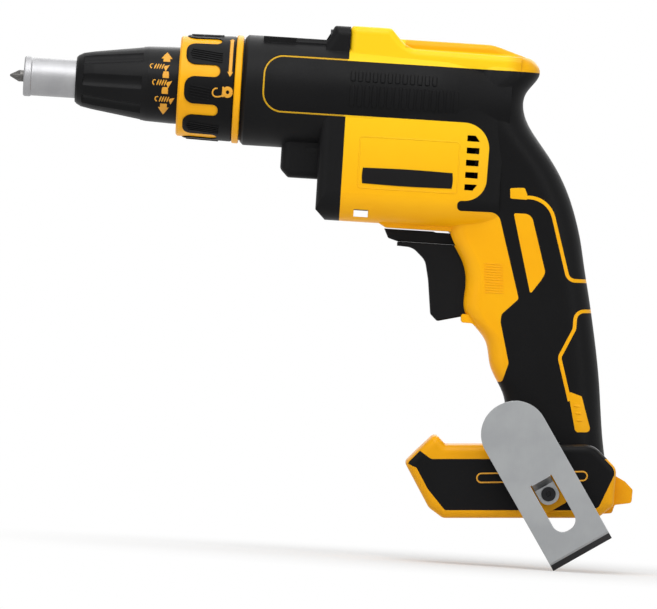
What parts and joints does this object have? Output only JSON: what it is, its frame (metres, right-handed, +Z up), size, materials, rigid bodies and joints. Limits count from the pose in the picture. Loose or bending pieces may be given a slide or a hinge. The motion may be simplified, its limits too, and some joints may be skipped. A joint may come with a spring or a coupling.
{
  "type": "cordless drywall screwdriver",
  "caption": "Pistol-grip cordless drywall screwdriver, bare tool: depth-setting nose, offset gear case, motor block, curved handle with trigger, battery-slide foot and belt hook.",
  "frame": {"origin": "point of the driver bit", "axes": "+X back along the spindle axis, +Z up toward the roof of the housing, +Y toward the tool's right side"},
  "size_m": [0.3232, 0.078, 0.2646],
  "materials": {
    "yellow_shell": "satin moulded, fine spark texture",
    "soft_grip": "soft overmoulded grip",
    "black_plastic": "satin moulded",
    "gold_plastic": "satin moulded",
    "dark_aluminium": "die cast",
    "satin_steel": "turned, satin",
    "bit_steel": "bead blasted",
    "spring_steel": "drawn wire",
    "gear_steel": "hobbed, oiled",
    "lamination": "stacked sheet",
    "magnet": "plated",
    "copper_wire": "enamelled winding",
    "board": "laminate",
    "bronze": "turned",
    "blade_metal": "plated",
    "hook_steel": "brushed stainless sheet",
    "dark_screw": "black oxide"
  },
  "bodies": {
    "housing": {"left_housing": "yellow_shell", "right_housing": "yellow_shell", "left_grip": "soft_grip", "right_grip": "soft_grip", "left_foot_pad": "soft_grip", "right_foot_pad": "soft_grip", "gear_case": "black_plastic", "trigger_switch": "black_plastic", "terminal_block": "black_plastic", "control_module": "dark_aluminium", "spindle_seal": "soft_grip", "bearing_plate": "dark_aluminium", "stator_core": "lamination", "stator_coils": "copper_wire", "hall_board": "board", "spindle_bush": "bronze", "gear_bearing": "satin_steel", "motor_front_bearing": "satin_steel", "motor_rear_bearing": "satin_steel", "lever_pin": "satin_steel", "terminal_blades": "blade_metal", "belt_hook": "hook_steel", "belt_hook_screw": "dark_screw", "hook_nuts": "bronze", "housing_screws": "dark_screw", "gear_case_screws": "dark_screw"},
    "lock_collar": {"lock_collar": "gold_plastic", "lock_collar_grip": "soft_grip"},
    "depth_cone": {"depth_cone": "black_plastic"},
    "nose_sleeve": {"nose_sleeve": "satin_steel"},
    "push_washer": {"thrust_washer": "satin_steel"},
    "spindle": {"spindle": "satin_steel", "bit_holder": "satin_steel", "bit_magnet": "magnet", "driver_bit": "bit_steel", "clutch_spring": "spring_steel"},
    "drive_gear": {"drive_gear": "gear_steel"},
    "rotor": {"motor_shaft": "satin_steel", "rotor_core": "lamination", "rotor_magnets": "magnet", "pinion": "gear_steel", "cooling_fan": "black_plastic"},
    "trigger": {"trigger": "black_plastic", "switch_plunger": "black_plastic", "trigger_spring": "spring_steel"},
    "direction_lever": {"direction_lever": "black_plastic"}
  },
  "joints": [
    {"name": "collar_lock", "type": "hinge", "parent": "housing", "child": "lock_collar", "pos_m": [0.1, 0, 0], "axis": [1, 0, 0], "range_deg": [0, 30]},
    {"name": "cone_turn", "type": "hinge", "parent": "housing", "child": "depth_cone", "pos_m": [0.08, 0, 0], "axis": [1, 0, 0], "range_deg": [-270, 270]},
    {"name": "nose_depth", "type": "slide", "parent": "housing", "child": "nose_sleeve", "axis": [1, 0, 0], "range_m": [-0.003, 0.003]},
    {"name": "clutch_push", "type": "slide", "parent": "housing", "child": "push_washer", "axis": [1, 0, 0], "range_m": [0, 0.0026], "stiffness_N_per_m": 3000, "springref_m": -0.003, "deforming": ["clutch_spring"]},
    {"name": "spindle_spin", "type": "hinge", "parent": "push_washer", "child": "spindle", "pos_m": [0.1, 0, 0], "axis": [1, 0, 0], "continuous": true},
    {"name": "gear_spin", "type": "hinge", "parent": "housing", "child": "drive_gear", "pos_m": [0.144, 0, 0], "axis": [1, 0, 0], "continuous": true},
    {"name": "rotor_spin", "type": "hinge", "parent": "housing", "child": "rotor", "pos_m": [0.19, 0, -0.02712], "axis": [1, 0, 0], "continuous": true},
    {"name": "trigger_pull", "type": "slide", "parent": "housing", "child": "trigger", "axis": [1, 0, 0], "range_m": [0, 0.006], "stiffness_N_per_m": 700, "springref_m": -0.003, "deforming": ["trigger_spring"]},
    {"name": "direction_swing", "type": "hinge", "parent": "housing", "child": "direction_lever", "pos_m": [0.238, 0, -0.068], "axis": [0, 0, 1], "range_deg": [-7, 7]}
  ],
  "couplings": [
    {"joint": "nose_depth", "follows": "cone_turn", "m_per_rad": 0.00063662},
    {"joint": "spindle_spin", "follows": "gear_spin", "ratio": 1},
    {"joint": "rotor_spin", "follows": "gear_spin", "ratio": -4}
  ]
}
